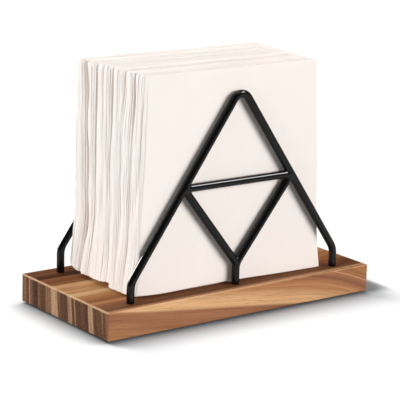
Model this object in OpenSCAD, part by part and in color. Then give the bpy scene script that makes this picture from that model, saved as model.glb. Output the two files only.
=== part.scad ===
// Upright napkin holder: an edge-glued hardwood board carries two bent-wire
// frames, and a stack of folded paper napkins stands in the slot between them.
//
// +X runs along the board, +Y from the front frame to the rear one, +Z is up.
// The origin is the middle of the board's footprint, on the surface it stands on.

/* [Board] */
// Length of the board
board_l = 250; // [215:1:320]
// Thickness of the board
board_t = 22; // [16:0.5:30]
// Distance from each row of feet to the long edge of the board beside it
rim_w = 12; // [11:0.5:17]
// Width of the glued strip at the rear edge
rear_edge_strip = 7.5; // [5:0.5:8]
// Width of the next strip, which the rear feet stand in
rear_foot_strip = 15; // [13:0.5:22]
// Width of the strip that the front feet stand in
front_foot_strip = 20.5; // [14:0.5:24]
// Width of the glued strip at the front edge
front_edge_strip = 6.5; // [5:0.5:8]
// Parts in which the strips between them share the rest of the width, rear to front
middle_parts = [18.5, 25, 27]; // [10:0.5:40]
// Radius of the eased edges all round the board
edge_r = 1; // [0.5:0.25:2]

/* [Wire frames] */
// Diameter of the rod that both frames are bent from
rod_d = 6; // [4:0.5:7]
// Clear width of the napkin slot between the two frames
slot_w = 90; // [70:1:96]
// Distance from the middle foot of a frame to each outer foot
foot_x = 97.5; // [85:0.5:100]
// Height of the corner where the two long legs of the arch would meet
peak_h = 154.2; // [135:0.1:165]
// Height of the corners where the legs turn down into the outer feet
knee_h = 15; // [12:0.5:25]
// Height of the crossbar
crossbar_h = 81; // [70:0.5:95]
// Height of the corner where the two braces meet above the middle foot
vee_h = 16.3; // [13:0.1:26]
// Centreline radius of the bend at the peak
peak_r = 8; // [6:0.5:12]
// Centreline radius of the bends at the knees
knee_r = 15; // [8:0.5:18]
// Centreline radius of the bend from the long brace into the middle foot
vee_r = 12; // [8:0.5:14]

/* [Fixings] */
// Depth of the blind sockets that the feet stand in
socket_depth = 10; // [6:0.5:12]
// Thread diameter of the screws that hold the feet from below
screw_d = 3; // [2.5:0.5:3.5]
// Length of thread that each screw takes up in its foot
thread_l = 8.5; // [5:0.5:14]
// Diameter of the hole that each screw passes through in the board
screw_hole_d = 3.4; // [3.1:0.1:4]
// Diameter of the countersunk screw heads
head_d = 6; // [5:0.25:7]
// How far the heads lie below the board's underside
head_recess = 0.5; // [0.25:0.25:1.5]
// Width across the corners of the hexagon recess in a head
drive_d = 2.3; // [1.5:0.1:2.5]
// Depth of the hexagon recess in a head
drive_depth = 1.2; // [0.6:0.1:1.4]
// Clearance on the radius of sockets, threads and countersinks
fit_clear = 0.05; // [0.02:0.01:0.1]

/* [Pads] */
// Diameter of the anti-slip pads under the corners
pad_d = 12; // [8:0.5:16]
// Thickness of the pads
pad_t = 1.5; // [1:0.25:3]
// Distance from the board's edges to the middle of a pad
pad_inset = 13; // [10:0.5:16]

/* [Napkins] */
// Width of a folded napkin, along the board
napkin_w = 168; // [140:1:175]
// Height of a folded napkin
napkin_h = 168; // [140:1:175]
// Number of folded napkins that fill the slot
napkin_count = 28; // [20:1:36]
// How far the front napkin sits to the right of the board's middle
front_shift = -2.5; // [-8:0.5:8]
// How far the rearmost napkin sits to the right of the board's middle
rear_shift = -1; // [-8:0.5:8]
// Clearance between the stack and each frame
stack_clear = 0.3; // [0.2:0.05:1]

/* [Hidden] */
$fn = 48;
beyond = 1;                                    // how far cuts run past a face
thread_tip = 2;                                // tapped depth past a screw's end
mark_step = 0.02;                              // how far a bend mark stands proud
mark_l = 0.4;                                  // length of a bend mark
cope_stop = 1;                                 // how far short of the axis of the rod
                                               // it meets a rod is cut off
frame_y = (slot_w + rod_d) / 2;                // from the middle to each frame's plane
board_w = 2 * (frame_y + rim_w);
board_z = pad_t;                               // the board's underside
top_z = board_z + board_t;                     // the board's upper face

// Widths of all the glued strips, from the rear edge to the front
outer_w = rear_edge_strip + rear_foot_strip + front_foot_strip + front_edge_strip;
parts_sum = middle_parts * [for (part = middle_parts) 1];
strip_w = concat(
    [rear_edge_strip, rear_foot_strip],
    middle_parts * (board_w - outer_w) / parts_sum,
    [front_foot_strip, front_edge_strip]
);
strip_count = len(strip_w);
pad_x = board_l / 2 - pad_inset;
pad_y = board_w / 2 - pad_inset;

// Corners of the arch, in the plane of its frame; heights are from the board's top
left_knee = [-foot_x, knee_h];
right_knee = [foot_x, knee_h];
peak = [0, peak_h];
left_end = [-foot_x, -socket_depth];
right_end = [foot_x, -socket_depth];
middle_end = [0, -socket_depth];
vee = [0, vee_h];
// The crossbar and the braces all meet the legs at one point a side
joint_x = foot_x * (peak_h - crossbar_h) / (peak_h - knee_h);
left_joint = [-joint_x, crossbar_h];
right_joint = [joint_x, crossbar_h];
// The short brace aims at the middle of the long brace's bend
half_turn = turn_at(right_joint, vee, middle_end) / 2;
bend_offset = vee_r * (1 / cos(half_turn) - 1);
bend_middle = vee + bend_offset * [cos(half_turn), -sin(half_turn)];

// Screw: countersunk head below, shank up into the foot
head_z = board_z + head_recess;
head_t = (head_d - screw_d) / 2;
screw_l = board_t - socket_depth - head_recess + thread_l;

stack_w = slot_w - 2 * stack_clear;
napkin_t = stack_w / napkin_count;

strip_names = [for (i = [1 : strip_count]) str("board_strip_", i)];
pad_names = ["pad_front_left", "pad_front_right", "pad_rear_left", "pad_rear_right"];
pad_signs = [[-1, -1], [1, -1], [-1, 1], [1, 1]];
napkin_names = [for (i = [1 : napkin_count]) str("napkin_", i < 10 ? "0" : "", i)];
foot_places = [for (side = [-1, 1], x = [-foot_x, 0, foot_x]) [x, side * frame_y]];

// ---- Rods bent in one plane -------------------------------------------------

// Unit vector from one point to another
function heading(from, to) = (to - from) / norm(to - from);
// Angle that a path turns through at its middle point
function turn_at(a, b, c) = acos(heading(a, b) * heading(b, c));
// Distance from a corner to where its bend starts
function setback(a, b, c, r) = r * tan(turn_at(a, b, c) / 2);
// Angle of a vector from +X
function angle_of(v) = atan2(v.y, v.x);

// Lays an upright round piece along a direction in the plane; the quarter turn
// brings its facets into line with those of the bends
module lay_along(at, along) {
    translate(at) rotate(angle_of(along)) rotate([0, 90, 0]) rotate(90) children();
}

// Straight length of rod
module rod(from, to) {
    lay_along(from, to - from) cylinder(d = rod_d, h = norm(to - from));
}

// Faint ring that the former leaves on the rod where a bend starts or ends
module bend_mark(at, along) {
    lay_along(at, along)
        cylinder(d = rod_d + 2 * mark_step, h = mark_l, center = true);
}

// Round bend at corner b, on the way from a to c
module rod_bend(a, b, c, r) {
    into = heading(a, b);
    out = heading(b, c);
    side = sign(cross(into, out));
    start = b - setback(a, b, c, r) * into;
    centre = start + side * r * [-into.y, into.x];
    first = side > 0 ? -[-into.y, into.x] : [-out.y, out.x];
    translate(centre)
        rotate(angle_of(first))
            rotate_extrude(angle = turn_at(a, b, c)) translate([r, 0]) circle(d = rod_d);
}

// Rod that runs through the corners of a path, bent at each to the radius given
module bent_rod(path, radii) {
    last = len(path) - 1;
    cut = [for (i = [0 : last]) i == 0 || i == last ? 0
        : setback(path[i - 1], path[i], path[i + 1], radii[i - 1])];
    for (i = [0 : last - 1]) {
        along = heading(path[i], path[i + 1]);
        start = path[i] + cut[i] * along;
        end = path[i + 1] - cut[i + 1] * along;
        rod(start, end);
        if (i > 0) {
            bend_mark(start, along);
            rod_bend(path[i - 1], path[i], path[i + 1], radii[i - 1]);
        }
        if (i < last - 1) bend_mark(end, along);
    }
}

// Stands a piece drawn in the plane in the front frame's place, or turned
// half round into the rear frame's place
module stand_frame(rear) {
    rotate(rear ? 180 : 0)
        translate([0, -frame_y, top_z]) rotate([90, 0, 0]) children();
}

// Threaded holes up into the ends of the feet
module tapped_holes(xs) {
    for (x = xs)
        translate([x, -socket_depth - beyond])
            rotate([-90, 0, 0])
                cylinder(d = screw_d + 2 * fit_clear, h = beyond + thread_l + thread_tip);
}

// ---- Wire frame pieces ------------------------------------------------------

// One rod from foot to foot over the peak
module arch(rear) {
    color("#1c1b1b") stand_frame(rear) difference() {
        bent_rod([left_end, left_knee, peak, right_knee, right_end],
                 [knee_r, peak_r, knee_r]);
        tapped_holes([-foot_x, foot_x]);
    }
}

// The arch's long legs, which the welded rods are cut to fit
module legs() {
    rod(left_knee, peak);
    rod(peak, right_knee);
}

// Point that lies the cut-off short of one end, on the way to the other
function cut_short(end, other) = end + cope_stop * heading(end, other);

// Straight bar between the legs
module crossbar(rear) {
    color("#222121") stand_frame(rear) difference() {
        rod(cut_short(left_joint, right_joint), cut_short(right_joint, left_joint));
        legs();
    }
}

module long_brace_rod() {
    bent_rod([cut_short(right_joint, vee), vee, middle_end], [vee_r]);
}

// Brace from the right joint down to the middle foot, all one rod
module long_brace(rear) {
    color("#262525") stand_frame(rear) difference() {
        long_brace_rod();
        legs();
        rod(left_joint, right_joint);
        tapped_holes([0]);
    }
}

// Brace from the left joint, butted onto the bend of the long one
module short_brace(rear) {
    color("#2a2929") stand_frame(rear) difference() {
        rod(cut_short(left_joint, bend_middle), cut_short(bend_middle, left_joint));
        legs();
        rod(left_joint, right_joint);
        long_brace_rod();
    }
}

// ---- Board ------------------------------------------------------------------

// Rectangle with round corners, centred
module eased_rectangle(w, h) {
    square([w - 2 * edge_r, h], center = true);
    square([w, h - 2 * edge_r], center = true);
    for (x = [-1, 1], y = [-1, 1])
        translate([x * (w / 2 - edge_r), y * (h / 2 - edge_r)]) circle(edge_r);
}

// The whole board's outer form, with its long and short edges eased
module board_form() {
    translate([0, 0, board_z + board_t / 2]) intersection() {
        rotate([90, 0, 90])
            linear_extrude(board_l, center = true) eased_rectangle(board_w, board_t);
        rotate([90, 0, 0])
            linear_extrude(board_w, center = true) eased_rectangle(board_l, board_t);
        linear_extrude(board_t, center = true) eased_rectangle(board_l, board_w);
    }
}

// Socket, screw hole and countersink under each foot
module fixing_bores() {
    sunk_d = head_d + 2 * fit_clear;
    for (place = foot_places) translate([place.x, place.y, 0]) {
        translate([0, 0, top_z - socket_depth])
            cylinder(d = rod_d + 2 * fit_clear, h = socket_depth + beyond);
        translate([0, 0, board_z - beyond])
            cylinder(d = screw_hole_d, h = board_t + beyond);
        translate([0, 0, board_z - beyond])
            cylinder(d = sunk_d, h = head_recess + beyond);
        translate([0, 0, head_z])
            cylinder(d1 = sunk_d, d2 = screw_hole_d, h = (sunk_d - screw_hole_d) / 2);
    }
}

// Distance of a glue line from the board's rear edge: the sum of the first strips
function glue_line(n) = n == 0 ? 0 : strip_w[n - 1] + glue_line(n - 1);

// One glued strip; strip 0 is the rearmost
module strip(i) {
    tints = ["#9a5a3a", "#5a3626", "#9c6240", "#c08a52", "#b98550", "#7c4f33", "#cf9f68"];
    color(tints[i % len(tints)]) difference() {
        intersection() {
            board_form();
            translate([-board_l / 2, board_w / 2 - glue_line(i + 1), board_z])
                cube([board_l, strip_w[i], board_t]);
        }
        fixing_bores();
    }
}

// ---- Fixings and pads -------------------------------------------------------

// Countersunk screw, standing on its head
module screw() {
    difference() {
        union() {
            cylinder(d1 = head_d, d2 = screw_d, h = head_t);
            cylinder(d = screw_d, h = screw_l);
        }
        translate([0, 0, -beyond]) cylinder(d = drive_d, h = drive_depth + beyond, $fn = 6);
    }
}

module frame_screws() {
    color("silver") for (place = foot_places)
        translate([place.x, place.y, head_z]) screw();
}

module pad(signs) {
    color("#3a3a3a") translate([signs.x * pad_x, signs.y * pad_y, 0])
        cylinder(d = pad_d, h = pad_t);
}

// ---- Napkins ----------------------------------------------------------------

// One folded napkin, its closed fold on the left; napkin 0 is at the front
module napkin(i) {
    shift = front_shift + (rear_shift - front_shift) * i / (napkin_count - 1);
    fold_r = napkin_t / 2;
    color("#f6efe9")
        translate([shift - napkin_w / 2, -stack_w / 2 + i * napkin_t, top_z]) {
            translate([fold_r, fold_r, 0]) cylinder(r = fold_r, h = napkin_h);
            translate([fold_r, 0, 0]) cube([napkin_w - fold_r, napkin_t, napkin_h]);
        }
}

// ---- Nodes ------------------------------------------------------------------

for (i = [0 : strip_count - 1])
    strip(i);
arch(false);  // front_arch
crossbar(false);  // front_crossbar
long_brace(false);  // front_long_brace
short_brace(false);  // front_short_brace
arch(true);  // rear_arch
crossbar(true);  // rear_crossbar
long_brace(true);  // rear_long_brace
short_brace(true);  // rear_short_brace
frame_screws();
for (i = [0 : len(pad_names) - 1])
    pad(pad_signs[i]);
for (i = [0 : napkin_count - 1])
    napkin(i);
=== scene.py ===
# %% [markdown]
# # An upright napkin holder
# A thick board, glued up from strips of hardwood, carries two triangular frames
# bent from black rod, and a block of folded paper napkins stands between them.
# The measured model is loaded first and stays as it is. Everything made below
# either gives one of its parts a finish or stands in for one with more detail.

# %% Load the measured model
import math
import bpy
import numpy as np
from mathutils import Matrix, Vector


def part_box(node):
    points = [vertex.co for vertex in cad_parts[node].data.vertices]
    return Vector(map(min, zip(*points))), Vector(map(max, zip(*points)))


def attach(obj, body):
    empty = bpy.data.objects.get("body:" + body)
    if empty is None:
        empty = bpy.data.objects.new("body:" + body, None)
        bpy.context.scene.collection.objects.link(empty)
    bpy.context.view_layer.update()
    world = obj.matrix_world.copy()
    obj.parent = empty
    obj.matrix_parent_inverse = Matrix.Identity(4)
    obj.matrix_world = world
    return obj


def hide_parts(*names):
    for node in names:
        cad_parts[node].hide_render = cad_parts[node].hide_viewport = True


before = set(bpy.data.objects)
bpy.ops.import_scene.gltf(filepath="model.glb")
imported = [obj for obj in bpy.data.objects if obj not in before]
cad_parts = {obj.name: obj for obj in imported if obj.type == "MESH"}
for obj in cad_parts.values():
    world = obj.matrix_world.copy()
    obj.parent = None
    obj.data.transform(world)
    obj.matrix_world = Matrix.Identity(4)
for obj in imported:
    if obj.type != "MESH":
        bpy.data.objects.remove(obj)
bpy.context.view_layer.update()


def parts(start):
    """The measured parts whose names have this start: a dict from name to object."""
    return {name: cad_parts[name] for name in sorted(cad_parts) if name.startswith(start)}


print("measured model:", len(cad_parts), "parts")

# %% [markdown]
# ## The camera
# The holder is seen from its left and a little from above, through a long lens,
# so that its upright edges stay nearly parallel. A camera is easiest to place by
# the direction it looks along and its distance from the point it looks at. Here
# it also rolls by a degree and two thirds, as a camera held by hand does.

# %% Place the camera
MM = 0.001
scene = bpy.context.scene
scene.view_settings.view_transform = "Standard"


def new_object(name, data):
    """Object made of the given data, put in the scene."""
    thing = bpy.data.objects.new(name, data)
    scene.collection.objects.link(thing)
    return thing


def from_angles(azimuth, elevation):
    """Direction towards a camera or lamp; azimuth 0 is in front, 90 on the right."""
    a, e = math.radians(azimuth), math.radians(elevation)
    return Vector((math.sin(a) * math.cos(e), -math.cos(a) * math.cos(e), math.sin(e)))


def look_from(azimuth, elevation, roll, distance, aim, focal_px, image_px):
    """Camera at a distance from the aimed point, by angles in degrees."""
    back = from_angles(azimuth, elevation)
    level = (-back).cross(Vector((0, 0, 1))).normalized()
    upright = level.cross(-back)
    r = math.radians(roll)
    right = level * math.cos(r) + upright * math.sin(r)
    up = upright * math.cos(r) - level * math.sin(r)
    data = bpy.data.cameras.new("camera")
    data.sensor_width = 36
    data.lens = 36 * focal_px / image_px
    data.clip_start, data.clip_end = 0.05, 20
    camera = new_object("camera", data)
    place = back * distance + level * aim[0] + upright * aim[1] + Vector((0, 0, aim[2]))
    camera.matrix_world = Matrix((*zip(right, up, back, place), (0, 0, 0, 1)))
    scene.camera = camera
    return camera


camera = look_from(-36.97, 13.95, 1.67, 1431.38 * MM, (0, -2.12 * MM, 81.5 * MM), 1834.96, 400)
print("lens", round(camera.data.lens, 1), "mm")

# %% [markdown]
# ## Small helpers for nodes
# Every finish is a tree of nodes. These helpers add a node together with what goes
# into it: a constant, or the output of another node, written as a (node, output)
# pair. So each finish below reads like a recipe.

# %% Helpers for node trees
def set_inputs(tree, node, inputs):
    """Gives inputs, by name or number, their constants or (node, output) pairs."""
    for name, value in inputs.items():
        socket = node.inputs[name]
        if isinstance(value, tuple) and isinstance(value[0], bpy.types.Node):
            tree.links.new(value[0].outputs[value[1]], socket)
        else:
            socket.default_value = (*value, 1) if socket.type == "RGBA" else value


def add_node(tree, kind, inputs=None, **settings):
    """New node with its settings and inputs."""
    node = tree.nodes.new(kind)
    for name, value in settings.items():
        setattr(node, name, value)
    set_inputs(tree, node, inputs or {})
    return node


def maths(tree, operation, first, second=0.0, third=0.0):
    """Math node on numbers or pairs."""
    return add_node(tree, "ShaderNodeMath", {0: first, 1: second, 2: third}, operation=operation), "Value"


def spread(tree, value, low, high, to_low=0.0, to_high=1.0, smooth=True):
    """Map Range node from low..high to to_low..to_high, clamped."""
    return add_node(tree, "ShaderNodeMapRange", {
        "Value": value, "From Min": low, "From Max": high, "To Min": to_low, "To Max": to_high,
    }, interpolation_type="SMOOTHSTEP" if smooth else "LINEAR"), "Result"


def colour_mix(tree, factor, first, second, blend="MIX"):
    """Mix of two colours, constants or pairs."""
    return add_node(tree, "ShaderNodeMix", {0: factor, 6: first, 7: second},
                    data_type="RGBA", blend_type=blend), 2


def ramp(tree, value, stops):
    """Colour ramp through (position, colour) stops."""
    node = add_node(tree, "ShaderNodeValToRGB", {"Fac": value})
    elements = node.color_ramp.elements
    while len(elements) < len(stops):
        elements.new(0.5)
    for element, (place, colour) in zip(elements, stops):
        element.position, element.color = place, (*colour, 1)
    return node, "Color"


def noise(tree, place, scale, detail, rough=0.5):
    """Cloudy noise, from 0 to 1."""
    return add_node(tree, "ShaderNodeTexNoise", {
        "Vector": place, "Scale": scale, "Detail": detail, "Roughness": rough}), "Fac"


def on_object(tree):
    """Each point's own place on its object, in metres."""
    return tree.nodes.new("ShaderNodeTexCoord"), "Object"


def relief(tree, height, strength, depth):
    """Normal of a surface with small relief, depth in metres."""
    return add_node(tree, "ShaderNodeBump", {
        "Height": height, "Strength": strength, "Distance": depth}), "Normal"


def new_group(name, inputs, outputs, kind="ShaderNodeTree"):
    """Node group with sockets of (name, type) or (name, type, default), and its two ends."""
    tree = bpy.data.node_groups.new(name, kind)
    for sockets, in_out in ((inputs, "INPUT"), (outputs, "OUTPUT")):
        for socket, sort, *default in sockets:
            made = tree.interface.new_socket(socket, in_out=in_out, socket_type="NodeSocket" + sort)
            if default:
                made.default_value = default[0]
    return tree, tree.nodes.new("NodeGroupInput"), tree.nodes.new("NodeGroupOutput")


def new_material(name):
    """Material with a plain Principled shader; returns it, its tree and the shader."""
    material = bpy.data.materials.new(name)
    material.use_nodes = True
    tree = material.node_tree
    return material, tree, next(n for n in tree.nodes if n.type == "BSDF_PRINCIPLED")


# %% [markdown]
# ## The table and the light
# The holder stands on a plain white surface. A white background comes from the
# floor itself: it gives off a little light, but only towards the camera and into
# reflections, so it reaches white while the shadow beside the board stays. Close to
# the board a painted shade darkens the floor's colour and glow: the Ambient
# Occlusion node finds where the corner between board and table keeps light out.
# Past the right end it looks towards the board, so that the painted shade reaches
# further there.

# %% Floor and surroundings
def make_floor(half_side, glow):
    """Wide white floor that renders white, takes a shadow and has a painted shade by the board."""
    mesh = bpy.data.meshes.new("floor")
    corners = [(x * half_side, y * half_side, 0) for x, y in ((-1, -1), (1, -1), (1, 1), (-1, 1))]
    mesh.from_pydata(corners, [], [(0, 1, 2, 3)])
    floor = new_object("floor", mesh)
    material, tree, shader = new_material("white_table")
    place = add_node(tree, "ShaderNodeSeparateXYZ", {0: on_object(tree)})
    # 1 on the strip of floor just past the board's right end, where the painted shade is darker
    beside = maths(tree, "MULTIPLY", spread(tree, (place, "X"), 0.115, 0.135),
                   spread(tree, (place, "X"), 0.145, 0.155, 1, 0))
    lean = add_node(tree, "ShaderNodeCombineXYZ", {"X": maths(tree, "MULTIPLY", beside, -0.9), "Z": 1.0})
    towards = add_node(tree, "ShaderNodeVectorMath", {0: (lean, 0)}, operation="NORMALIZE")
    # Painted shade: the Ambient Occlusion node darkens the floor's colour and glow near the board
    corner = add_node(tree, "ShaderNodeAmbientOcclusion",
                      {"Distance": 0.06, "Normal": (towards, 0)}, samples=24)
    painted_floor_shade = ramp(tree, (corner, "AO"), [(0.46, (0.3, 0.305, 0.31)), (0.7, (0.62, 0.625, 0.63)),
                                          (0.88, (1, 1, 1))])
    painted_floor_shade = colour_mix(tree, beside, painted_floor_shade, spread(tree, (corner, "AO"), 0.7, 1.0, 0.25, 1))
    # The painted shade is fainter in front of the board, and there is none behind it
    painted_shade_fade = maths(tree, "MAXIMUM", spread(tree, (place, "Y"), -0.07, -0.056, 0.55, 0),
                    spread(tree, (place, "Y"), 0.055, 0.07))
    painted_floor_shade = colour_mix(tree, painted_shade_fade, painted_floor_shade, (1, 1, 1))
    rays = tree.nodes.new("ShaderNodeLightPath")
    # What the floor throws back on the holder is held down, for deeper shadows on it
    white = spread(tree, (rays, "Is Diffuse Ray"), 0, 1, 0.88, 0.25, smooth=False)
    # It glows for rays from the camera, a reflection or glass, not for light on objects
    seen = maths(tree, "MAXIMUM", (rays, "Is Camera Ray"), (rays, "Is Glossy Ray"))
    seen = maths(tree, "MAXIMUM", seen, (rays, "Is Transmission Ray"))
    set_inputs(tree, shader, {
        "Base Color": colour_mix(tree, 1.0, painted_floor_shade, white, "MULTIPLY"), "Roughness": 1,
        "Specular IOR Level": 0, "Emission Color": painted_floor_shade,
        "Emission Strength": maths(tree, "MULTIPLY", seen, glow)})
    mesh.materials.append(material)
    return floor


floor = make_floor(6, 0.06)

SKY = 0.12
world = bpy.data.worlds.new("studio")
scene.world = world
world.use_nodes = True
sky = next(n for n in world.node_tree.nodes if n.type == "BACKGROUND")
# White to the camera; dim in reflections, so that black rod stays black
rays = world.node_tree.nodes.new("ShaderNodeLightPath")
level = maths(world.node_tree, "MULTIPLY_ADD", (rays, "Is Camera Ray"), 1 - SKY, SKY)
set_inputs(world.node_tree, sky, {"Color": (1, 1, 1), "Strength": level})

# %% [markdown]
# Four soft lamps light the holder: one low on the right, which throws the rods'
# shadows to their left on the napkins, one on the left, a little behind, one low in
# the rear for the far side, and one overhead. The floor has three lamps of its own,
# and only the board stands in their light. In this way the shadow hugs the base, as
# it does in a studio where each lamp is flagged off by hand.

# %% Lamps
def soft_lamp(name, azimuth, elevation, level, softness, colour=(1, 1, 1)):
    """Sun lamp from a direction; level is what a white face turned to it shows."""
    towards = from_angles(azimuth, elevation)
    data = bpy.data.lights.new(name, "SUN")
    data.energy, data.angle, data.color = level * math.pi, math.radians(softness), colour
    lamp = new_object(name, data)
    lamp.location = towards
    lamp.rotation_euler = (-towards).to_track_quat("-Z", "Y").to_euler()
    return lamp


def link_list(name, things, state="INCLUDE"):
    """Collection that says which things a lamp lights, or which block it."""
    chosen = bpy.data.collections.new(name)
    for thing in things:
        chosen.objects.link(thing)
    for entry in chosen.collection_objects:
        entry.light_linking.link_state = state
    return chosen


not_floor = link_list("all but the floor", [floor], "EXCLUDE")
only_floor = link_list("the floor", [floor])
only_board = link_list("the board", parts("board_strip_").values())
for lamp in (
    soft_lamp("right_lamp", 40, 10, 1.25, 34),
    soft_lamp("left_lamp", -102, 12, 1.17, 55, (0.965, 1, 1.01)),
    soft_lamp("rear_lamp", 178, 8, 0.75, 40),
    soft_lamp("overhead_lamp", 20, 88, 0.2, 26),
):
    lamp.light_linking.receiver_collection = not_floor
for lamp in (
    soft_lamp("low_floor_lamp", -160, 36, 0.72, 34, (1.08, 1, 0.94)),
    soft_lamp("front_floor_lamp", -32, 25, 0.62, 12, (0.86, 1, 1.1)),
    soft_lamp("high_floor_lamp", 165, 66, 0.32, 30),
):
    lamp.light_linking.receiver_collection = only_floor
    lamp.light_linking.blocker_collection = only_board

# %% [markdown]
# ## Wood
# The board is glued from strips of one species, sawn from different places in the
# trunk, so every strip has its own colour and its own run of growth rings. Wood
# is a solid: a ring that ends in a line on the top goes on down the end face. So
# the pattern is worked out in three dimensions, from each point's place in the
# board, and not painted on each face.
#
# One node group makes the figure for all strips. It measures how far a point lies
# across the rings, in millimetres, along a slope that each strip sets for itself.
# Slow noise lets the rings wander a little, and noise of four finer sizes, stretched
# along the trunk, draws the growth lines and the pores.

# %% Node group for the figure of wood
SWEEP_START = 60.0  # mm right of the middle, where the rings begin to sweep aside


def make_figure_group():
    """Place across the rings, growth lines and pores at a point of the board."""
    tree, given, made = new_group(
        "figure of wood",
        [("Slope", "Vector"), ("Offset", "Float", 0.0), ("Sweep", "Float", 0.0),
         ("Bend", "Float", 2.0), ("Grain", "Float", 1.0), ("Seed", "Float", 0.0)],
        [("Across", "Float"), ("Lines", "Float"), ("Pores", "Float")],
    )
    in_mm = add_node(tree, "ShaderNodeVectorMath", {0: on_object(tree), "Scale": 1 / MM}, operation="SCALE")
    place = add_node(tree, "ShaderNodeSeparateXYZ", {0: (in_mm, 0)})

    # Rings lie along a slope; at the right end of the board they sweep aside
    along = add_node(tree, "ShaderNodeVectorMath", {0: (in_mm, 0), 1: (given, "Slope")},
                     operation="DOT_PRODUCT")
    across = maths(tree, "ADD", (along, "Value"), (given, "Offset"))
    far = maths(tree, "MAXIMUM", maths(tree, "SUBTRACT", (place, "X"), SWEEP_START), 0.0)
    sweep = maths(tree, "MULTIPLY", maths(tree, "POWER", far, 2.0), (given, "Sweep"))
    across = maths(tree, "ADD", across, sweep)
    seeded = maths(tree, "MULTIPLY", (given, "Seed"), 7.3)

    def grains(sizes, detail, rough=0.5, through=(place, "Y")):
        """Noise with grains of (x, across, z) mm; through is the place across them."""
        parts = zip("XYZ", ((place, "X"), through, (place, "Z")), sizes)
        spot = add_node(tree, "ShaderNodeCombineXYZ", {
            axis: maths(tree, "MULTIPLY_ADD", part, 1 / size, seeded) for axis, part, size in parts})
        return noise(tree, (spot, 0), 1, detail, rough)

    wander = maths(tree, "SUBTRACT", grains((110, 24, 26), 1), 0.5)
    across = maths(tree, "ADD", across, maths(tree, "MULTIPLY", wander, (given, "Bend")))
    lines = 0.0
    for share, sizes, detail, rough in ((0.38, (60, 0.9, 14), 2, 0.6), (0.42, (120, 2.8, 40), 2, 0.6),
                                        (0.2, (160, 7, 90), 1, 0.5)):
        lines = maths(tree, "MULTIPLY_ADD", grains(sizes, detail, rough, across), share, lines)
    lines = maths(tree, "SUBTRACT", lines, 0.5)
    set_inputs(tree, made, {
        "Across": across, "Lines": maths(tree, "MULTIPLY", lines, (given, "Grain")),
        "Pores": spread(tree, grains((9, 0.45, 3), 1, 0.5, across), 0.62, 0.72)})
    return tree


figure_group = make_figure_group()

# %% [markdown]
# The second group is the finish, which all strips share too. On the ends the wood
# drinks more oil and shows other colours, a thin dark glue line parts the strips,
# and the arris round the top is painted pale, partly as rubbing wear and partly as
# a painted highlight along the edge. All of it is found from the direction of the
# surface and the distances to the edges.

# %% Node group for the oiled finish
strip_boxes = [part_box(name) for name in parts("board_strip_")]
board_low = Vector(map(min, *(low for low, _ in strip_boxes)))
board_high = Vector(map(max, *(high for _, high in strip_boxes)))
board_top = board_high.z
print("board", [round(v / MM, 1) for v in board_high - board_low], "mm")


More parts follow.
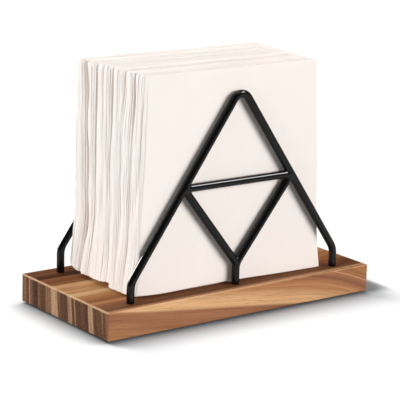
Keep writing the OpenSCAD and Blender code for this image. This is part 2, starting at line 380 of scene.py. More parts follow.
def make_finish_group():
    """Oiled wood: colour, roughness and relief from the figure."""
    tree, given, made = new_group(
        "oiled finish",
        [("Long Grain", "Color"), ("End Grain", "Color"), ("Lines", "Float", 0.0),
         ("Pores", "Float", 0.0), ("Rear Joint", "Float", 0.0), ("Front Joint", "Float", 0.0)],
        [("Color", "Color"), ("Roughness", "Float"), ("Height", "Float")],
    )
    surface = tree.nodes.new("ShaderNodeNewGeometry")
    facing = add_node(tree, "ShaderNodeSeparateXYZ", {0: (surface, "True Normal")})
    end = spread(tree, maths(tree, "ABSOLUTE", (facing, "X")), 0.75, 0.95)
    colour = colour_mix(tree, end, (given, "Long Grain"), (given, "End Grain"))

    # Growth lines darken the colour and deepen its red
    shade = maths(tree, "MULTIPLY", (given, "Lines"), 2.6)
    tint = add_node(tree, "ShaderNodeCombineColor", {
        channel: maths(tree, "MULTIPLY_ADD", shade, strength, 1.0)
        for channel, strength in (("Red", 0.9), ("Green", 1.15), ("Blue", 1.35))})
    colour = colour_mix(tree, 1.0, colour, (tint, 0), "MULTIPLY")
    colour = colour_mix(tree, maths(tree, "MULTIPLY", (given, "Pores"), 0.3), colour, (0.05, 0.02, 0.01))

    # Sawn ends are rough: the open pores show as small dark and pale flecks
    spot = on_object(tree)
    fleck = spread(tree, noise(tree, spot, 800, 3, 0.7), 0.36, 0.64, 0.36, -0.16)
    fleck = maths(tree, "MULTIPLY", fleck, end)
    for sign, fleck_colour in ((1.0, (0.07, 0.035, 0.02)), (-1.0, (0.5, 0.34, 0.22))):
        shown = maths(tree, "MAXIMUM", maths(tree, "MULTIPLY", fleck, sign), 0.0)
        colour = colour_mix(tree, shown, colour, fleck_colour)

    place = add_node(tree, "ShaderNodeSeparateXYZ", {0: spot})

    def inwards(edge, part):
        """Distance in millimetres from an edge of the board."""
        return maths(tree, "MULTIPLY", maths(tree, "SUBTRACT", edge, part), 1 / MM)

    below_top = inwards(board_high.z, (place, "Z"))
    from_end = inwards(board_high.x, maths(tree, "ABSOLUTE", (place, "X")))
    from_side = inwards(board_high.y, maths(tree, "ABSOLUTE", (place, "Y")))
    from_rear = inwards(board_high.y, (place, "Y"))

    # Glue lines: the strips' joints, as places from the rear edge
    glue = 0.0
    for joint in ("Rear Joint", "Front Joint"):
        near = maths(tree, "ABSOLUTE", maths(tree, "SUBTRACT", from_rear, (given, joint)))
        glue = maths(tree, "MAXIMUM", glue, spread(tree, near, 0.12, 0.4, 1, 0))
    glue = maths(tree, "MULTIPLY", glue, spread(tree, from_side, 0.5, 1.5, 0, 0.6))
    colour = colour_mix(tree, glue, colour, (0.06, 0.024, 0.011))

    # Pale arris round the top, uneven: rubbing wear and a painted highlight on the edge
    uneven = spread(tree, noise(tree, spot, 160, 2), 0.3, 0.6, 0.55, 1)
    short = spread(tree, maths(tree, "ADD", from_end, below_top), 0.7, 1.5, 0.8, 0)
    long = spread(tree, maths(tree, "ADD", from_side, below_top), 0.5, 1.2, 0.45, 0)
    wear_and_highlight = maths(tree, "MULTIPLY", maths(tree, "MAXIMUM", short, long), uneven)

    rough = maths(tree, "MULTIPLY_ADD", (given, "Lines"), 0.3, 0.55)
    height = maths(tree, "MULTIPLY_ADD", (given, "Pores"), -0.6, (given, "Lines"))
    set_inputs(tree, made, {
        "Color": colour_mix(tree, wear_and_highlight, colour, (0.66, 0.43, 0.25)),
        "Roughness": maths(tree, "MULTIPLY_ADD", end, 0.12, rough),
        "Height": maths(tree, "MULTIPLY_ADD", glue, -0.5, height)})
    return tree


finish_group = make_finish_group()

# %% [markdown]
# Each strip then gets a material of its own: the slope of its rings and two runs of
# colour across it, one for the long faces and one for the ends. The places are in
# millimetres from the board's rear edge, as a joiner would mark them. Where rings
# lean, the ends show bands that lean towards the front as they go down.

# %% Materials of the strips
rear_edge = board_high.y / MM
half_way_up = (board_high.z + board_low.z) / 2 / MM
# Where the strips meet; the first and the last place lie off the board
joint_places = [-9, 7.5, 22.5, 41, 66, 93, 113.5, -9]


def tone(r, g, b):
    """Linear colour from the usual 0 to 255 numbers."""
    return tuple(
        v / 12.92 if v <= 0.04045 else ((v + 0.055) / 1.055) ** 2.4
        for v in (r / 255, g / 255, b / 255)
    )


def strip_material(name, seed, joints, long_stops, end_stops, lean=0.0, sweep=0.0, bend=2.0,
                   grain=1.0, rings=None):
    """Wood with colours at places across the rings, in mm. They are measured from the
    rear edge and lean as they go down, or lie by rings = (slope, offset)."""
    material, tree, shader = new_material(name)
    slope, offset = rings or ((0, -1, lean), rear_edge - lean * half_way_up)
    figure = add_node(tree, "ShaderNodeGroup", {
        "Slope": slope, "Offset": offset, "Sweep": sweep, "Bend": bend, "Grain": grain, "Seed": seed,
    }, node_tree=figure_group)

    def run_of_colour(stops):
        """Colour ramp over the places of its stops."""
        first, last = stops[0][0], stops[-1][0]
        span = spread(tree, (figure, "Across"), first, last, smooth=False)
        return ramp(tree, span, [((place - first) / (last - first), colour) for place, colour in stops])

    finish = add_node(tree, "ShaderNodeGroup", {
        "Long Grain": run_of_colour(long_stops), "End Grain": run_of_colour(end_stops),
        "Lines": (figure, "Lines"), "Pores": (figure, "Pores"),
        "Rear Joint": joints[0], "Front Joint": joints[1],
    }, node_tree=finish_group)
    set_inputs(tree, shader, {
        "Base Color": (finish, "Color"), "Roughness": (finish, "Roughness"),
        "Normal": relief(tree, (finish, "Height"), 0.3, 0.0002), "Specular IOR Level": 0.03})
    return material


russet, rust, umber = tone(127, 76, 42), tone(140, 90, 54), tone(112, 71, 44)
chocolate, cocoa, chestnut = tone(82, 45, 25), tone(129, 80, 52), tone(150, 94, 55)
gold, honey, amber = tone(197, 151, 106), tone(172, 122, 79), tone(170, 116, 70)
pale, straw = tone(224, 184, 142), tone(204, 158, 114)
tan, walnut, plum = tone(180, 143, 112), tone(88, 58, 43), tone(68, 43, 36)
clay, bark, fawn = tone(138, 95, 71), tone(100, 68, 50), tone(126, 91, 67)

strip_looks = [
    dict(
        bend=1.2,
        long_stops=[(0, umber), (3, russet), (5.5, russet), (7.5, umber)],
        end_stops=[(0, tan), (1.5, clay), (3, bark), (4, clay), (5.5, clay), (6.5, bark), (8, clay)]),
    dict(
        bend=1.2, lean=0.02,
        long_stops=[(8, umber), (11, rust), (13.5, umber), (16, chocolate), (22, chocolate)],
        end_stops=[(8.5, bark), (10.2, bark), (11, tan), (12.5, clay), (14, bark), (16.5, walnut), (18, plum),
                   (22, plum)]),
    dict(
        lean=0.04,
        long_stops=[(22.5, umber), (26, rust), (31, russet), (35, russet), (40, rust)],
        end_stops=[(22, plum), (24.5, fawn), (27, bark), (31, walnut), (34, bark), (36, clay), (38, fawn),
                   (41, clay)]),
    dict(
        lean=0.07,
        long_stops=[(41, russet), (43, gold), (49, gold), (54, honey), (59, honey), (61, gold), (64, honey)],
        end_stops=[(41, clay), (42.5, tan), (50.5, tan), (53, bark), (54.2, clay), (55.5, bark), (57, walnut),
                   (65, walnut), (66.4, tan)]),
    dict(
        lean=0.12, sweep=0.002,
        long_stops=[(65, gold), (68, pale), (71, pale), (74, gold), (78, honey), (82, amber), (88, chestnut),
                    (93, chestnut)],
        end_stops=[(64, walnut), (66.4, tan), (70, tan), (72.2, walnut), (74.2, bark), (75.2, tan),
                   (76.3, bark), (80, walnut), (84, bark), (93, walnut)]),
    dict(
        lean=0.16, sweep=0.003,
        long_stops=[(92, chestnut), (94.5, honey), (97, amber), (101, cocoa), (105, cocoa), (109, umber)],
        end_stops=[(90, walnut), (92.6, walnut), (94, tan), (98.5, tan), (101, bark), (103, walnut),
                   (106, bark), (110, walnut), (112, fawn), (114, fawn)]),
    # The front strip is sawn with flat rings: the dark heart shows as a long wedge
    dict(
        grain=0.7, sweep=0.00265, rings=((0.118, -8, 1), -480),
        long_stops=[(-60, umber), (-18, umber), (-14, tone(184, 132, 92)),
                    (-9.5, tone(174, 122, 85)), (-5, tone(162, 112, 79)), (7.6, tone(150, 100, 71)),
                    (9.6, straw), (13, tone(215, 167, 119)), (17, straw),
                    (21, tone(186, 132, 90)), (25, tone(176, 121, 83)), (28, tone(158, 106, 74)),
                    (30.5, tone(134, 88, 64)), (33, tone(148, 99, 69)), (35.2, tone(160, 108, 75)),
                    (35.9, straw), (36.6, tone(156, 104, 71)), (44, tone(164, 114, 75))],
        end_stops=[(-60, bark), (-40, walnut), (-14, clay), (-6, fawn)]),
]


def set_material(thing, material):
    """Gives an object one material."""
    thing.data.materials.clear()
    thing.data.materials.append(material)


for number, look in enumerate(strip_looks, 1):
    joints = joint_places[number - 1:number + 1]
    wood = strip_material(f"wood_strip_{number}", number, joints, **look)
    set_material(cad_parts[f"board_strip_{number}"], wood)
print(len(strip_looks), "kinds of wood")

# %% [markdown]
# ## Powder-coated rod
# The frames are bent from 6 mm steel rod, welded where the pieces meet, and coated
# with baked powder. Such a coat is satin and slightly pebbled, and it flows round
# the welds, so the joints look soft.

# %% Node group for fine relief, and the black coat
def make_pebble_group():
    """Relief of two sizes, for coats and moulded rubber."""
    tree, given, made = new_group(
        "pebbled coat",
        [("Place", "Vector"), ("Size", "Float", 0.001), ("Variation", "Float", 0.1),
         ("Base Roughness", "Float", 0.4)],
        [("Height", "Float"), ("Roughness", "Float"), ("Tint", "Float")],
    )
    scale = maths(tree, "DIVIDE", 1.0, (given, "Size"))
    broad = noise(tree, (given, "Place"), maths(tree, "MULTIPLY", scale, 0.08), 3, 0.6)
    varied = maths(tree, "MULTIPLY", maths(tree, "SUBTRACT", broad, 0.5), (given, "Variation"))
    set_inputs(tree, made, {
        "Height": noise(tree, (given, "Place"), scale, 2), "Tint": broad,
        "Roughness": maths(tree, "ADD", varied, (given, "Base Roughness"))})
    return tree


pebble_group = make_pebble_group()


def add_pebbles(tree, size, roughness):
    """Node of the pebbled coat on an object."""
    return add_node(tree, "ShaderNodeGroup", {
        "Place": on_object(tree), "Size": size, "Base Roughness": roughness}, node_tree=pebble_group)


def pebbled_material(name, dark, light, size, roughness, depth, specular, coat=0.0):
    """Even, slightly pebbled surface, used for the coat and for rubber."""
    material, tree, shader = new_material(name)
    pebbles = add_pebbles(tree, size, roughness)
    set_inputs(tree, shader, {
        "Base Color": ramp(tree, (pebbles, "Tint"), [(0.3, dark), (0.7, light)]),
        "Roughness": (pebbles, "Roughness"), "Normal": relief(tree, (pebbles, "Height"), 0.3, depth),
        "Specular IOR Level": specular, "Coat Weight": coat, "Coat Roughness": 0.18})
    return material


black_coat = pebbled_material("black_powder_coat", (0.003, 0.0028, 0.0025), (0.005, 0.0047, 0.0043),
                              0.0009, 0.5, 0.00003, 0.0, coat=0.5)
pad_rubber = pebbled_material("pad_rubber", (0.02, 0.02, 0.021), (0.035, 0.034, 0.034),
                              0.0007, 0.8, 0.0001, 0.3)


# %% [markdown]
# ## Bending the rods
# A bent rod is a path with rounded corners and a circle swept along it. Geometry
# Nodes do both: Fillet Curve rounds each corner by its own radius, and Curve to
# Mesh sweeps the circle. The corners come from the measured frame: the legs run
# from foot to foot over the peak, the crossbar and the braces meet them at one
# point on each side, and the long brace ends in the middle foot.

# %% Tree that bends a rod
def group_modifier(thing, tree, values):
    """Geometry Nodes modifier whose inputs are set by their sockets' identifiers."""
    modifier = thing.modifiers.new(tree.name, "NODES")
    modifier.node_group = tree
    for item in tree.interface.items_tree:
        if item.item_type == "SOCKET" and item.in_out == "INPUT" and item.name in values:
            modifier[item.identifier] = values[item.name]


def make_rod_tree():
    """Rounds the corners of a path and sweeps a round rod along it."""
    tree, given, made = new_group(
        "bent rod",
        [("Geometry", "Geometry"), ("Diameter", "Float", 0.006), ("Facets", "Int", 32),
         ("Material", "Material")],
        [("Geometry", "Geometry")], "GeometryNodeTree")
    radius = tree.nodes.new("GeometryNodeInputRadius")
    fillet = add_node(tree, "GeometryNodeFilletCurve", {
        "Curve": (given, "Geometry"), "Radius": (radius, "Radius"), "Count": 16}, mode="POLY")
    even = add_node(tree, "GeometryNodeSetCurveRadius", {"Curve": (fillet, 0), "Radius": 1.0})
    ring = add_node(tree, "GeometryNodeCurvePrimitiveCircle", {
        "Resolution": (given, "Facets"), "Radius": maths(tree, "MULTIPLY", (given, "Diameter"), 0.5),
    }, mode="RADIUS")
    sweep = add_node(tree, "GeometryNodeCurveToMesh", {
        "Curve": (even, 0), "Profile Curve": (ring, 0), "Fill Caps": True})
    real = add_node(tree, "GeometryNodeRealizeInstances", {0: (sweep, 0)})
    coated = add_node(tree, "GeometryNodeSetMaterial", {
        "Geometry": (real, 0), "Material": (given, "Material")})
    set_inputs(tree, made, {0: (coated, 0)})
    return tree


rod_tree = make_rod_tree()
print("rod tree:", [i.name for i in rod_tree.interface.items_tree])


def take_mesh(thing, name):
    """Plain mesh object of what a thing's modifiers make; the thing is removed."""
    graph = bpy.context.evaluated_depsgraph_get()
    mesh = bpy.data.meshes.new_from_object(thing.evaluated_get(graph))
    bpy.data.objects.remove(thing)
    return new_object(name, mesh)


# %% [markdown]
# The corners of one frame, in its own plane: x along the board and height above
# its top, in mm. The sizes are the rod's radius, how far the feet stand out from the
# middle, where the legs would meet without a bend, the heights of the knees, the
# crossbar and the bend of the long brace, the radii of the bends, and how deep the
# feet sit in the board.

# %% Corners of a frame
rod_r = 3.0
foot_x, peak_h, knee_h, bar_h, vee_h = 97.5, 154.2, 15.0, 81.0, 16.3
knee_bend, peak_bend, vee_bend = 15, 8, 12
socket_depth = 10.0
rear_knee_higher = 4.2
joint_x = foot_x * (peak_h - bar_h) / (peak_h - knee_h)


def unit(v):
    """Vector of length 1."""
    return v / np.linalg.norm(v)


def at(x, h):
    """Point in the frame's plane."""
    return np.array((x, h), float)


# The short brace ends in the middle of the long one's bend
into = unit(at(0, vee_h) - at(joint_x, bar_h))
half_turn = math.acos(float(into @ at(0, -1))) / 2
towards_bend = at(math.cos(half_turn), -math.sin(half_turn))
bend_middle = at(0, vee_h) + vee_bend * (1 / math.cos(half_turn) - 1) * towards_bend


def shy(end, other, short=2.0):
    """A welded end, cut a little short of the middle of the rod it meets."""
    return end + short * unit(other - end)


def frame_paths(right_knee_h):
    """Corners and bend radii of a frame's four rods; the right knee may be bent higher."""
    left_joint, right_joint = at(-joint_x, bar_h), at(joint_x, bar_h)
    return {
        "arch": ([at(-foot_x, -socket_depth), at(-foot_x, knee_h), at(0, peak_h),
                  at(foot_x, right_knee_h), at(foot_x, -socket_depth)], [knee_bend, peak_bend, knee_bend]),
        "crossbar": ([shy(left_joint, right_joint), shy(right_joint, left_joint)], []),
        "long_brace": ([shy(right_joint, at(0, vee_h)), at(0, vee_h), at(0, -socket_depth)], [vee_bend]),
        "short_brace": ([shy(left_joint, bend_middle), shy(bend_middle, left_joint)], []),
    }


def swept_rods(name, paths):
    """Mesh object of a frame's rods, pushed into each other, in its own plane."""
    curve = bpy.data.curves.new(name, "CURVE")
    curve.dimensions = "3D"
    for corners, radii in paths.values():
        spline = curve.splines.new("POLY")
        spline.points.add(len(corners) - 1)
        for point, corner, bend in zip(spline.points, corners, [0, *radii, 0]):
            point.co = (corner[0] * MM, 0, corner[1] * MM, 1)
            point.radius = bend * MM
    thing = new_object(name, curve)
    group_modifier(thing, rod_tree, {"Diameter": 2 * rod_r * MM, "Facets": 32, "Material": black_coat})
    return take_mesh(thing, name)


# %% [markdown]
# ## Welding the frame
# Four swept rods pushed into each other would meet in hard creases. A welded and
# coated joint is filled: the surface runs from one rod to the next in a small
# hollow curve. To get it, the rods are remeshed into one skin, and each point of the
# skin is then moved to where the distance to the rods' centre lines, blended between
# neighbouring rods, is exactly the rod's radius.

# %% Distance to the rods, and the weld
WELD = 1.3  # mm over which two rods blend


def path_parts(corners, radii):
    """Straight parts (start, end) and bends (centre, radius, from, to) of a path."""
    parts, start = [], corners[0]
    for k in range(1, len(corners) - 1):
        a, b = unit(corners[k] - corners[k - 1]), unit(corners[k + 1] - corners[k])
        turn = math.acos(float(np.clip(a @ b, -1, 1)))
        back_off = radii[k - 1] * math.tan(turn / 2)
        first, last = corners[k] - back_off * a, corners[k] + back_off * b
        side = math.copysign(1, a[0] * b[1] - a[1] * b[0])
        centre = first + side * radii[k - 1] * np.array((-a[1], a[0]))
        parts += [("straight", start, first), ("bend", centre, radii[k - 1], first, last)]
        start = last
    return parts + [("straight", start, corners[-1])]


def lengths(vectors):
    """Length of each row."""
    return np.linalg.norm(vectors, axis=1)


def distance_to(part, flat):
    """Distance in the plane from points to one part of a centre line."""
    if part[0] == "straight":
        a, b = part[1], part[2]
        t = np.clip(((flat - a) @ (b - a)) / ((b - a) @ (b - a)), 0, 1)
        return lengths(flat - a - t[:, None] * (b - a))
    centre, radius, first, last = part[1:]
    away = lengths(flat - centre) + 1e-9
    middle = unit((first - centre) + (last - centre))
    inside = ((flat - centre) @ middle) / away >= float(unit(first - centre) @ middle)
    ends = np.minimum(lengths(flat - first), lengths(flat - last))
    return np.where(inside, np.abs(away - radius), ends)


def frame_distance(points, paths):
    """Blended distance (mm) from points (x, out of plane, height) to a frame's skin."""
    total = None
    for corners, radii in paths.values():
        flat = points[:, (0, 2)]
        near = np.min([distance_to(p, flat) for p in path_parts(corners, radii)], axis=0)
        rod = np.hypot(near, points[:, 1]) - rod_r
        if total is None:
            total = rod
        else:
            h = np.clip(0.5 + 0.5 * (total - rod) / WELD, 0, 1)
            total = total * (1 - h) + rod * h - WELD * h * (1 - h)
    return np.maximum(total, -socket_depth - points[:, 2])


def weld_frame(name, paths):
    """One skin over the four rods of a frame, with filled joints."""
    rods = swept_rods(name, paths)
    remesh = rods.modifiers.new("one skin", "REMESH")
    remesh.mode, remesh.voxel_size = "VOXEL", 0.5 * MM
    skin = take_mesh(rods, name)
    mesh = skin.data
    points = np.empty(len(mesh.vertices) * 3)
    mesh.vertices.foreach_get("co", points)
    points = points.reshape(-1, 3) / MM
    aside, furthest = 0.02, 0.4  # mm to measure the slope over, and to move in one round
    for _ in range(6):
        value = frame_distance(points, paths)
        slope = np.stack([
            (frame_distance(points + step, paths) - frame_distance(points - step, paths)) / (2 * aside)
            for step in np.eye(3) * aside], axis=1)
        slope /= np.maximum(lengths(slope), 0.3)[:, None]
        points -= np.clip(value, -furthest, furthest)[:, None] * slope
    mesh.vertices.foreach_set("co", (points * MM).ravel())
    mesh.shade_smooth()
    mesh.update()
    return skin


rod_paths = frame_paths(knee_h)
front_frame = weld_frame("front_frame", rod_paths)
skin_points = np.array([v.co for v in front_frame.data.vertices]) / MM
leftover = float(np.abs(frame_distance(skin_points, rod_paths)).max())
print("frame skin:", len(front_frame.data.polygons), "faces, leftover error", round(leftover, 3), "mm")

# %% [markdown]
# The front frame stands in its plane as it is. The rear one is the same frame turned
# half round, so that the long brace comes from the other side. Frames bent by hand
# are never quite alike: the knee on its far left was bent about 4 mm higher.

# %% Stand the frames on the board
front_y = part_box("front_arch")
plane_y = (front_y[0].y + front_y[1].y) / 2
rear_frame = weld_frame("rear_frame", frame_paths(knee_h + rear_knee_higher))
for piece, turn in ((front_frame, 1), (rear_frame, -1)):
    for vertex in piece.data.vertices:
        x, y, z = vertex.co
        vertex.co = (turn * x, turn * (y + plane_y), z + board_top)
    set_material(piece, black_coat)
    side = piece.name.split("_")[0]
    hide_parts(*[f"{side}_{rod}" for rod in rod_paths])
    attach(piece, "holder")
print("frame plane at y =", round(plane_y / MM, 2), "mm")

# %% [markdown]
# Black rod needs something bright to mirror. Two lamps that light the frames alone
# draw its highlights: one high in front on the right for the line along the crossbar,
# and an upright soft box behind on the left for the rims of the legs. The two side
# lamps leave the frames out, as they would show in the rods as broad grey bands.

# %% Lamps for the highlights
only_frames = link_list("the frames", [front_frame, rear_frame])


def strip_box(name, place, size, radiance):
    """Rectangular soft box that stands upright and shines along -Y."""
    data = bpy.data.lights.new(name, "AREA")
    data.shape, data.size, data.size_y = "RECTANGLE", *size
    data.energy = radiance * math.pi * size[0] * size[1]
    lamp = new_object(name, data)
    lamp.location = place
    lamp.rotation_euler = (math.radians(-90), 0, 0)
    lamp.visible_camera = False
    return lamp


for lamp in (
    soft_lamp("crossbar_glint", 52, 43, 0.95, 18),
    strip_box("rim_strip", (-0.176, 0.25, 0.13), (0.148, 0.14), 34),
):
    lamp.light_linking.receiver_collection = only_frames
    lamp.light_linking.blocker_collection = only_frames
not_rods = link_list("all but floor and frames", [floor, front_frame, rear_frame], "EXCLUDE")
for name in ("right_lamp", "left_lamp"):
    bpy.data.objects[name].light_linking.receiver_collection = not_rods

# %% [markdown]
# ## Screws and pads
# Under the board, countersunk screws hold the feet and four rubber pads keep the
# board from sliding. They are measured parts already, so they only need a finish:
# zinc-plated steel, and matt rubber.

# %% Steel for the screws
def steel_material():
    """Zinc-plated steel, a little cloudy."""
    material, tree, shader = new_material("zinc_steel")
    pebbles = add_pebbles(tree, 0.0004, 0.32)
    set_inputs(tree, shader, {
        "Base Color": ramp(tree, (pebbles, "Tint"), [(0.35, (0.5, 0.5, 0.52)), (0.65, (0.66, 0.66, 0.66))]),
        "Roughness": (pebbles, "Roughness"), "Metallic": 1})
    return material


set_material(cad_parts["frame_screws"], steel_material())
for pad in parts("pad_").values():
    set_material(pad, pad_rubber)

# %% [markdown]
# ## The napkins
# Each napkin is a sheet of soft tissue folded in four. Packed upright, the folds
# make a wall of rounded noses on the left, the loose edges stand on the right, and
# the block as a whole gathers in bundles with shallow seams between them. A cloth
# simulation of some sixty pressed layers would be slow and would tell little more
# than a ruler does, so the block is built layer by layer instead.
#
# A layer is bounded by two surfaces. All surfaces are laid out in order from front
# to rear, and layers only share out the room between them, so no two can cross.

# %% Waves with fixed seeds
def waves(seed, where, lengths, size=1.0):
    """Sum of slow waves, about -size to size, with fixed random phases."""
    dice = np.random.RandomState(seed)
    total = 0
    for length in lengths:
        total = total + np.sin(2 * math.pi * (where / (length * dice.uniform(0.85, 1.15)) + dice.rand()))
    return size * total / math.sqrt(len(lengths))


# %% [markdown]
# The bundles part along seams. Their places were measured on the folded side, at
# four heights, and the layers between two seams share the room that is left.

# %% Seams between the bundles
stack_half, stack_h = 44.7, 168.0  # mm, half the thickness and the height
paper_nodes = list(parts("napkin_"))
per_napkin = 2
layers = per_napkin * len(paper_nodes)
seam_heights = [0, 60, 105, stack_h]
# Layer in front of which each seam lies, its places from bottom to top, its depth
seams = [
    (0, [-stack_half] * 4, 0.0),
    (2, (-41.5, -41.0, -40.3, -41.5), 1.1),
    (10, (-27.0, -27.8, -27.2, -28.0), 2.6),
    (18, (-16.0, -15.4, -15.0, -17.0), 1.7),
    (27, (-5.8, -3.0, -1.0, -1.0), 2.3),
    (34, (8.8, 7.0, 8.0, 10.0), 1.2),
    (39, (19.0, 16.0, 17.0, 18.5), 2.5),
    (47, (31.0, 28.3, 29.8, 32.5), 3.5),
    (layers, [stack_half] * 4, 0.0),
]
OPEN_SEAM = 47  # the layer behind the seam that stays deep down to the foot


def smooth_between(x, xs, ys):
    """Smooth curve through a few points."""
    k = np.clip(np.searchsorted(xs, x) - 1, 0, len(xs) - 2)
    xs, ys = np.asarray(xs, float), np.asarray(ys, float)
    t = np.clip((x - xs[k]) / (xs[k + 1] - xs[k]), 0, 1)
    return ys[k] + (ys[k + 1] - ys[k]) * t * t * (3 - 2 * t)


def bounds_at(height, seed, measured):
    """Places of the surfaces of all layers at some heights, from front to rear. On the
    measured side the seams run as they were found, on the other straight up."""
    dice = np.random.RandomState(seed)
    marks = []
    for layer, places, depth in seams:
        place = smooth_between(height, seam_heights, places if measured else [places[2]] * 4)
        if depth:
            place = place + waves(seed + layer, height, (110, 55), 0.5)
        marks.append(place)
    surfaces = []
    for (first, _, _), (last, _, _), low, high in zip(seams, seams[1:], marks, marks[1:]):
        count = last - first
        widths = np.stack([
            np.exp(dice.normal(0, 0.25) + waves(seed * 7 + first * 31 + n, height, (190, 110, 60), 0.22))
            for n in range(count)])
        share = np.cumsum(widths, axis=0) / widths.sum(axis=0)
        surfaces += [low, *(low + (high - low) * share[:-1])]
    return np.array(surfaces + [marks[-1]])


def small_seams(seed):
    """Lesser seams inside the bundles, every two or three layers: (layer, depth)."""
    dice = np.random.RandomState(seed)
    found, layer = [], 0
    while layer < layers:
        layer += int(dice.choice([1, 2, 2, 3, 3]))
        found.append((layer, dice.uniform(0.2, 0.95)))
    return found


def seam_recess(layer, height):
    """How far a layer's edge lies back at the seams beside it, in mm."""
    total = 0
    low = 1 - height / stack_h
    for index, _, depth in seams:
        away = abs(layer - index + 0.5) - 0.5
        open_here = 0.9 + waves(900 + index, height, (120, 60), 0.3)
        depth = depth * (1 - 0.45 * low * (index < OPEN_SEAM))
        total = total + depth * np.clip(open_here, 0.1, 1.5) * np.exp(-away / (0.8 + 0.9 * low))
    for index, depth in small_seams(77):
        away = abs(layer - index + 0.5) - 0.5
        open_here = 0.05 + 0.5 * height / stack_h + waves(300 + index, height, (150, 80, 45), 0.4)
        total = total + depth * np.clip(open_here, 0, 1.3) * np.exp(-away / 0.45)
    return total


# %% [markdown]
# The outline of each layer follows the block's: it stands a little wider at the
# foot than at the top, the loose edges on the right end in steps, and the feet of
# the bundles hang at slightly different heights above the wood.

# %% Outline of a layer
def left_edge(y, height):
    """Left edge of the block at a place y and a height above the board."""
    front = -83.7 - 7.2 * (1 - np.clip(height / stack_h, 0, 1)) ** 1.3
    rear = -87.8 - 4.2 * np.clip(1 - height / 50, 0, 1) ** 1.4
    t = np.clip((y + stack_half) / (2 * stack_half), 0, 1) ** 0.8
    return front + (rear - front) * t


def right_edge(y, height):
    """Right edge: the steps of the loose edges at the top, level at the foot."""
    steps = [(-45, 75.2), (-30, 76.3), (-13.5, 78.0), (-12.5, 80.0), (3, 80.6), (4, 82.4),
             (19, 82.8), (20.5, 78.5), (22, 83.8), (45, 84.2)]
    top = np.interp(y, *zip(*steps))
    foot = 85.6 - 1.0 * (y + stack_half) / (2 * stack_half)
    t = np.clip(height / stack_h, 0, 1)
    return foot + (top - foot) * t ** 0.9


def foot_lift(layer, y, along):
    """Height of a layer's lower edge above the board; along is mm from the left edge."""
    left = np.interp(y, [-44.7, -41, -28, -6, -4.5, -2, 4, 13, 24, 30, 31.5, 36, 44.7],
                     [3.4, 1.0, 0.4, 0.5, 4.6, 3.8, 2.4, 1.8, 2.6, 1.0, 3.0, 3.6, 6.4])
    hump = 1.7 * np.exp(-((along - 75) / 48) ** 2) * (layer < per_napkin)
    return 0.3 + left * np.exp(-along / 16) + hump


# %% [markdown]
# One layer is a grid of points over its face, front and back, that meet in a
# rounded rim all round. Rows and columns lie closer together near the rim, where
# the shape turns, and the rim of the front napkin opens towards its foot.

# %% Build the napkins
def rim_steps(length, spacing):
    """Fractions from 0 to 1, close together near both ends."""
    near = np.array([0, 0.06, 0.2, 0.45, 0.8, 1.3, 2.0, 3.0, 4.5, 6.5, 9.5]) / length
    inner = np.linspace(near[-1], 1 - near[-1], max(2, int(length / spacing)))
    return np.concatenate([near, inner[1:-1], 1 - near[::-1]])


def rounded(distance, radius):
    """Thickness factor of a rounded rim at a distance inwards from the edge."""
    q = np.clip(distance / radius, 0, 1)
    return np.sqrt(1 - (1 - q) ** 2)


columns, rows = rim_steps(stack_h, 9), rim_steps(stack_h, 2.6)
row_h = rows * stack_h
left_surfaces = bounds_at(row_h, 11, True)
right_surfaces = bounds_at(row_h, 23, False)
even_surfaces = np.linspace(-stack_half, stack_half, layers + 1)
left_x, right_x = -86, 84  # about where the block ends, in mm
left_rim, right_rim, top_rim, foot_rim = 0.42, 0.3, 0.55, 0.5  # radii in mm
air = 0.015  # mm between a layer and the surfaces that bound it


def layer_arrays(layer):
    """Points (mm, heights above the board) of one layer's front and back grid."""
    dice = np.random.RandomState(500 + layer)
    mid = (left_surfaces[layer] + left_surfaces[layer + 1]) / 2
    mean = float(mid.mean())
    inset = 0.12 * abs(dice.normal()) + 0.1 * (1 + waves(700 + layer, row_h, (150, 80, 45)))
    left = left_edge(mid, row_h) + seam_recess(layer, row_h) + inset
    corner = 3.2 + waves(20 + layer, 0.0, (5,), 0.6)
    to_top = np.clip((row_h - (stack_h - corner)) / corner, 0, 1)
    left = left + corner * (1 - np.sqrt(1 - to_top ** 2)) * 0.8
    right = right_edge(mean, row_h) - 0.35 * abs(dice.normal()) + waves(800 + layer, row_h, (120, 45), 0.2)
    x = left[:, None] + (right - left)[:, None] * columns
    along = x - left[:, None]
    base = foot_lift(layer, mean, along[0]) + 0.3 * abs(dice.normal()) * np.exp(-along[0] / 10)
    top = stack_h - 0.6 + 0.3 * dice.normal() + waves(60 + layer, x[-1], (150, 80), 0.12)
    z = base + (top - base) * rows[:, None]

    near_left = np.exp(-np.clip(x - left_x, 0, None) / 22)
    near_right = np.exp(-np.clip(right_x - x, 0, None) / 14)

    def surface_at(n):
        """Places of one surface: its own on each side, even in the middle."""
        even = even_surfaces[n]
        y = even + (left_surfaces[n][:, None] - even) * near_left
        return y + (right_surfaces[n][:, None] - even) * near_right

    front, back = surface_at(layer), surface_at(layer + 1)
    # The block's two faces lie a little inwards, the front one in shallow waves
    inward = 0.25 + 0.12 * np.sin(x / 23 + 1) + 0.1 * np.sin(z / 31 + x / 57) + 0.06 * np.sin(z / 12 - x / 35)
    for surface in (front, back):
        surface += inward * np.clip(1 - (surface + stack_half) / 20, 0, 1)
        surface -= 0.25 * np.clip(1 - (stack_half - surface) / 20, 0, 1)
    if layer < per_napkin:
        flare = 1.3 * np.exp(-np.clip(right_x - x, 0, None) / 26) * np.exp(-(z / 13) ** 2)
        front, back = front - flare, back - flare
    middle, half = (front + back) / 2, (back - front) / 2 - air
    nose = left_rim + (2.2 * (1 - z / stack_h).clip(0, 1) if layer < per_napkin else 0)
    thick = rounded(along, nose) * rounded(right[:, None] - x, right_rim)
    thick = thick * rounded(top - z, top_rim) * rounded(z - base, foot_rim)
    return x, z, middle, half * thick


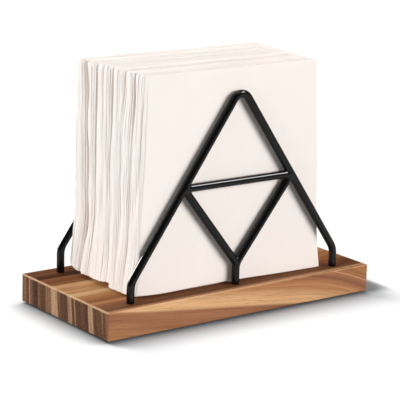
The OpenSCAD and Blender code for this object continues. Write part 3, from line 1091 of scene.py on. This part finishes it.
def paper_mesh(name, chosen):
    """One mesh of several layers, each closed."""
    points, faces, tones = [], [], []
    for layer in chosen:
        x, z, middle, half = layer_arrays(layer)
        inner = np.zeros(x.shape, bool)
        inner[1:-1, 1:-1] = True
        in_front, behind = x.size, int(inner.sum())
        # Both grids share the points of the rim
        index_front = np.arange(in_front).reshape(x.shape) + len(points)
        index_back = index_front.copy()
        index_back[inner] = len(points) + in_front + np.arange(behind)
        points += np.stack([x, middle - half, z], axis=2).reshape(-1, 3).tolist()
        points += np.stack([x, middle + half, z], axis=2)[inner].tolist()
        tones += [float(np.random.RandomState(40 + layer).rand())] * (in_front + behind)
        for grid, flip in ((index_front, False), (index_back, True)):
            a, b = grid[:-1, :-1].ravel(), grid[:-1, 1:].ravel()
            d, e = grid[1:, :-1].ravel(), grid[1:, 1:].ravel()
            faces += np.stack([a, d, e, b] if flip else [a, b, e, d], axis=1).tolist()
    mesh = bpy.data.meshes.new(name)
    placed = np.array(points) * MM + np.array((0, 0, board_top))
    mesh.from_pydata(placed.tolist(), [], faces)
    mesh.attributes.new("tone", "FLOAT", "POINT").data.foreach_set("value", tones)
    mesh.shade_smooth()
    mesh.update()
    return mesh


# %% [markdown]
# Tissue is off-white and matt, with a faint cloudiness where the fibres lie
# thicker, and each sheet is a little different in tone.

# %% Material of the tissue
def paper_material():
    """Off-white tissue with cloudy fibres and soft relief."""
    material, tree, shader = new_material("napkin_tissue")
    spot = on_object(tree)
    cloud, fibre = noise(tree, spot, 45, 4, 0.6), noise(tree, spot, 900, 3, 0.7)
    sheet_tone = add_node(tree, "ShaderNodeAttribute", attribute_name="tone")
    mixed = maths(tree, "MULTIPLY", (sheet_tone, "Fac"), 0.5)
    mixed = maths(tree, "MULTIPLY_ADD", cloud, 0.6, mixed)
    set_inputs(tree, shader, {
        "Base Color": ramp(tree, mixed, [(0.25, (0.89, 0.81, 0.758)), (0.85, (0.935, 0.862, 0.815))]),
        "Roughness": spread(tree, fibre, 0.3, 0.7, 0.85, 0.98, smooth=False),
        "Normal": relief(tree, fibre, 0.25, 0.00012), "Specular IOR Level": 0.15})
    return material


tissue = paper_material()
faces_made = 0
for number, node in enumerate(paper_nodes):
    chosen = range(number * per_napkin, (number + 1) * per_napkin)
    piece = new_object("folded_" + node, paper_mesh("folded_" + node, chosen))
    faces_made += len(piece.data.polygons)
    set_material(piece, tissue)
    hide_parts(node)
    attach(piece, "napkin_stack")
print(len(paper_nodes), "napkins,", faces_made, "faces")
